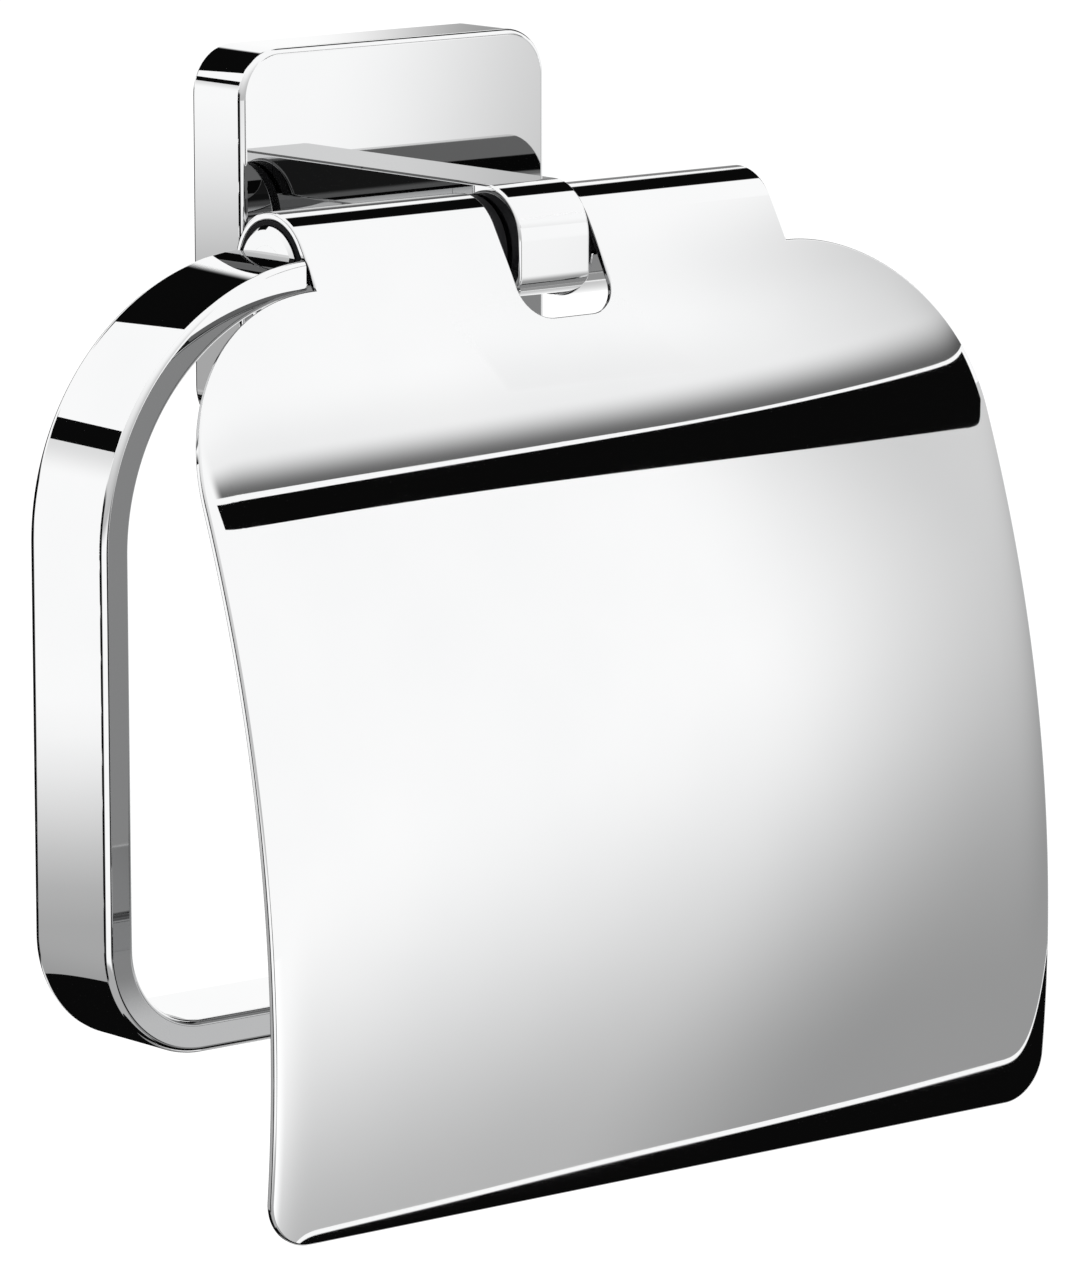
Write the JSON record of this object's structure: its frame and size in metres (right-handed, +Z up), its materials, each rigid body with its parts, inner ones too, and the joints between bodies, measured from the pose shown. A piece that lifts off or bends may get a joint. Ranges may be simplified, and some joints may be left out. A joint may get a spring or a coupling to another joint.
{
  "type": "toilet paper holder",
  "caption": "Wall-mounted toilet paper holder: square rosette, flat arm with a hook, hinged curved lid and a C-shaped flat-bar rail, open on the right, that carries the roll.",
  "frame": {"origin": "centre of the rosette's back face, on the wall", "axes": "+Z up, +Y into the wall, +X to the right seen from the room"},
  "size_m": [0.1294, 0.0637, 0.1338],
  "materials": {
    "polished_chrome": "polished",
    "dark_plastic": "matte",
    "plated_steel": "zinc plated",
    "screw_steel": "turned"
  },
  "bodies": {
    "holder": {"wall_bracket": "plated_steel", "wall_rosette": "polished_chrome", "rosette_set_screw": "screw_steel", "support_arm": "polished_chrome", "arm_screws": "screw_steel", "hinge_core": "polished_chrome", "core_screws": "screw_steel", "paper_rail": "polished_chrome", "rail_grub_screw": "screw_steel"},
    "lid": {"lid_cover": "polished_chrome", "left_hinge_sleeve": "dark_plastic", "right_hinge_sleeve": "dark_plastic"}
  },
  "joints": [
    {"name": "lid_hinge", "type": "hinge", "parent": "holder", "child": "lid", "pos_m": [0, -0.0322, 0.0006], "axis": [-1, 0, 0], "range_deg": [-14, 174]}
  ]
}
